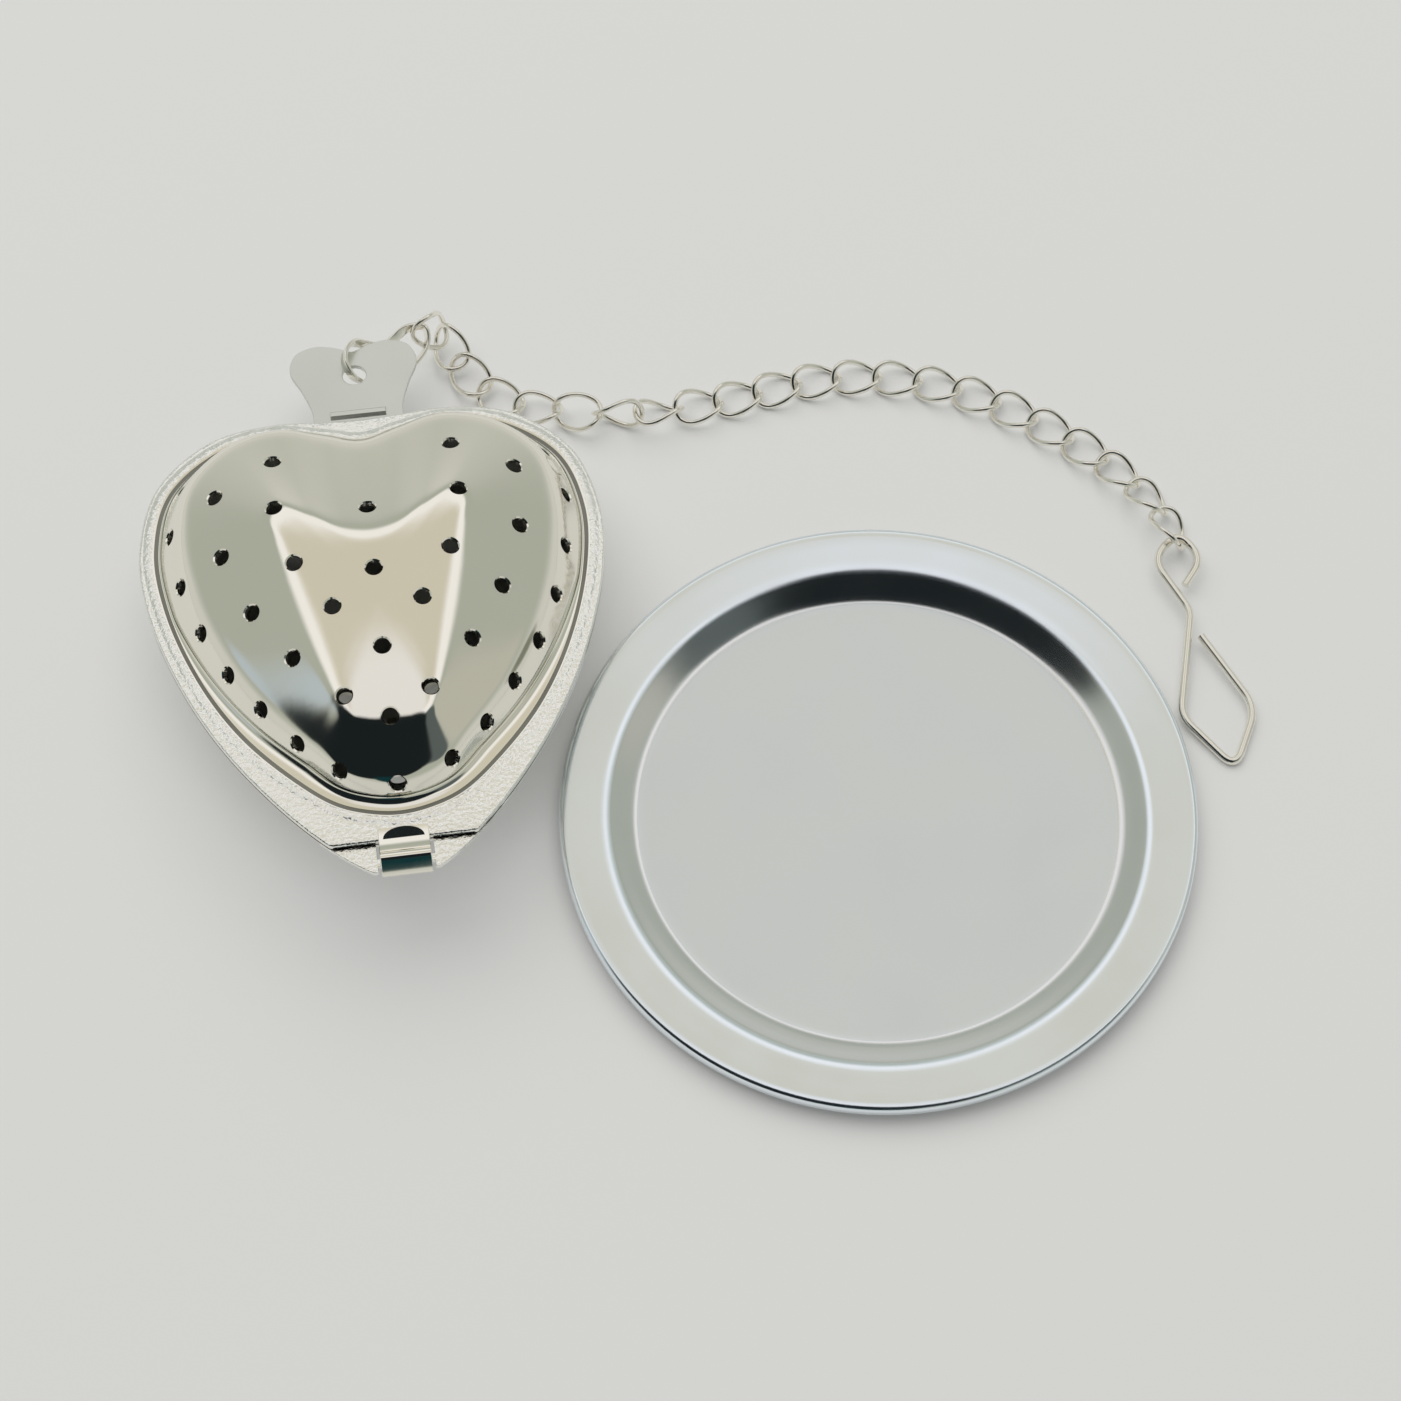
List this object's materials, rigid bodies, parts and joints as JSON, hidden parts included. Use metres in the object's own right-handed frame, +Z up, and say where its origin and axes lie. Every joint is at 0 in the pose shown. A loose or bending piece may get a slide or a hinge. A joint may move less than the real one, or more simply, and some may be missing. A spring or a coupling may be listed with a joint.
{
  "type": "tea infuser with drip tray",
  "caption": "Heart-shaped hinged tea infuser of perforated steel on a curb chain with a cup hook, lying beside a round steel drip tray.",
  "frame": {"origin": "centre of the tray's underside, on the table", "axes": "+Z up from the table, +Y towards the far side as pictured, +X to the right"},
  "size_m": [0.1136, 0.0899, 0.0199],
  "materials": {
    "satin_steel": "satin floor with a polished rim",
    "polished_steel": "polished",
    "wire_steel": "bright drawn wire"
  },
  "bodies": {
    "tray": {"drip_tray": "satin_steel"},
    "infuser": {"lower_shell": "polished_steel"},
    "lid": {"lid_shell": "polished_steel"},
    "ring": {"chain_ring": "wire_steel"},
    "link_01": {"chain_link_01": "wire_steel"},
    "link_02": {"chain_link_02": "wire_steel"},
    "link_03": {"chain_link_03": "wire_steel"},
    "link_04": {"chain_link_04": "wire_steel"},
    "link_05": {"chain_link_05": "wire_steel"},
    "link_06": {"chain_link_06": "wire_steel"},
    "link_07": {"chain_link_07": "wire_steel"},
    "link_08": {"chain_link_08": "wire_steel"},
    "link_09": {"chain_link_09": "wire_steel"},
    "link_10": {"chain_link_10": "wire_steel"},
    "link_11": {"chain_link_11": "wire_steel"},
    "link_12": {"chain_link_12": "wire_steel"},
    "link_13": {"chain_link_13": "wire_steel"},
    "link_14": {"chain_link_14": "wire_steel"},
    "link_15": {"chain_link_15": "wire_steel"},
    "link_16": {"chain_link_16": "wire_steel"},
    "link_17": {"chain_link_17": "wire_steel"},
    "link_18": {"chain_link_18": "wire_steel"},
    "link_19": {"chain_link_19": "wire_steel"},
    "link_20": {"chain_link_20": "wire_steel"},
    "link_21": {"chain_link_21": "wire_steel"},
    "link_22": {"chain_link_22": "wire_steel"},
    "hook": {"cup_hook": "wire_steel"}
  },
  "joints": [
    {"name": "infuser_lift", "type": "slide", "parent": "tray", "child": "infuser", "axis": [0, 0, 1], "range_m": [0, 0.06]},
    {"name": "lid_open", "type": "hinge", "parent": "infuser", "child": "lid", "pos_m": [-0.04592, -0.01053, 0.01315], "axis": [0.9898, 0.1399, -0.026], "range_deg": [0, 120]},
    {"name": "ring_swing", "type": "hinge", "parent": "infuser", "child": "ring", "pos_m": [-0.05433, 0.04784, 0.00695], "axis": [0.9898, 0.1399, -0.026], "range_deg": [-4, 30]},
    {"name": "link_01_swing", "type": "hinge", "parent": "ring", "child": "link_01", "pos_m": [-0.04772, 0.05528, 0.00517], "axis": [-0.4497, 0.8932, 0], "range_deg": [-25, 25]},
    {"name": "link_02_swing", "type": "hinge", "parent": "link_01", "child": "link_02", "pos_m": [-0.04567, 0.05631, 0.00228], "axis": [-0.8988, -0.4383, 0], "range_deg": [-25, 15]},
    {"name": "link_03_swing", "type": "hinge", "parent": "link_02", "child": "link_03", "pos_m": [-0.04409, 0.05307, 0.00155], "axis": [0.7464, 0.6655, 0], "range_deg": [-25, 25]},
    {"name": "link_04_swing", "type": "hinge", "parent": "link_03", "child": "link_04", "pos_m": [-0.04119, 0.04981, 0.00112], "axis": [-0.4768, -0.879, 0], "range_deg": [-25, 25]},
    {"name": "link_05_swing", "type": "hinge", "parent": "link_04", "child": "link_05", "pos_m": [-0.03734, 0.04773, 0.00103], "axis": [0.2005, 0.9797, 0], "range_deg": [-25, 25]},
    {"name": "link_06_swing", "type": "hinge", "parent": "link_05", "child": "link_06", "pos_m": [-0.03309, 0.04686, 0.00165], "axis": [-0.1511, -0.9885, 0], "range_deg": [-25, 25]},
    {"name": "link_07_swing", "type": "hinge", "parent": "link_06", "child": "link_07", "pos_m": [-0.0288, 0.0462, 0.00228], "axis": [-0.0262, 0.9997, 0], "range_deg": [-25, 25]},
    {"name": "link_08_swing", "type": "hinge", "parent": "link_07", "child": "link_08", "pos_m": [-0.02441, 0.04632, 0.00209], "axis": [0.21, -0.9777, 0], "range_deg": [-25, 25]},
    {"name": "link_09_swing", "type": "hinge", "parent": "link_08", "child": "link_09", "pos_m": [-0.02016, 0.04723, 0.00148], "axis": [-0.2564, 0.9666, 0], "range_deg": [-25, 25]},
    {"name": "link_10_swing", "type": "hinge", "parent": "link_09", "child": "link_10", "pos_m": [-0.01595, 0.04835, 0.00103], "axis": [0.2659, -0.964, 0], "range_deg": [-25, 25]},
    {"name": "link_11_swing", "type": "hinge", "parent": "link_10", "child": "link_11", "pos_m": [-0.01171, 0.04951, 0.00092], "axis": [-0.2823, 0.9593, 0], "range_deg": [-25, 25]},
    {"name": "link_12_swing", "type": "hinge", "parent": "link_11", "child": "link_12", "pos_m": [-0.0075, 0.05075, 0.00094], "axis": [0.1585, -0.9874, 0], "range_deg": [-25, 25]},
    {"name": "link_13_swing", "type": "hinge", "parent": "link_12", "child": "link_13", "pos_m": [-0.00317, 0.05145, 0.00095], "axis": [-0.0272, 0.9996, 0], "range_deg": [-25, 25]},
    {"name": "link_14_swing", "type": "hinge", "parent": "link_13", "child": "link_14", "pos_m": [0.00121, 0.05157, 0.00095], "axis": [-0.1163, -0.9932, 0], "range_deg": [-25, 25]},
    {"name": "link_15_swing", "type": "hinge", "parent": "link_14", "child": "link_15", "pos_m": [0.00557, 0.05106, 0.00095], "axis": [0.2577, 0.9662, 0], "range_deg": [-25, 25]},
    {"name": "link_16_swing", "type": "hinge", "parent": "link_15", "child": "link_16", "pos_m": [0.00981, 0.04993, 0.00095], "axis": [-0.3758, -0.9267, 0], "range_deg": [-25, 25]},
    {"name": "link_17_swing", "type": "hinge", "parent": "link_16", "child": "link_17", "pos_m": [0.01388, 0.04828, 0.00095], "axis": [0.4874, 0.8732, 0], "range_deg": [-25, 25]},
    {"name": "link_18_swing", "type": "hinge", "parent": "link_17", "child": "link_18", "pos_m": [0.01771, 0.04614, 0.00094], "axis": [-0.545, -0.8384, 0], "range_deg": [-25, 25]},
    {"name": "link_19_swing", "type": "hinge", "parent": "link_18", "child": "link_19", "pos_m": [0.02139, 0.04375, 0.00096], "axis": [0.5957, 0.8032, 0], "range_deg": [-25, 25]},
    {"name": "link_20_swing", "type": "hinge", "parent": "link_19", "child": "link_20", "pos_m": [0.02491, 0.04113, 0.00101], "axis": [-0.7012, -0.7129, 0], "range_deg": [-25, 25]},
    {"name": "link_21_swing", "type": "hinge", "parent": "link_20", "child": "link_21", "pos_m": [0.02804, 0.03806, 0.0012], "axis": [0.7993, 0.6009, 0], "range_deg": [-25, 25]},
    {"name": "link_22_swing", "type": "hinge", "parent": "link_21", "child": "link_22", "pos_m": [0.03066, 0.03457, 0.00159], "axis": [-0.9443, -0.329, 0], "range_deg": [-25, 25]},
    {"name": "hook_swing", "type": "hinge", "parent": "link_22", "child": "hook", "pos_m": [0.03211, 0.03043, 0.0018], "axis": [1, 0, 0], "range_deg": [-35, 35]}
  ]
}
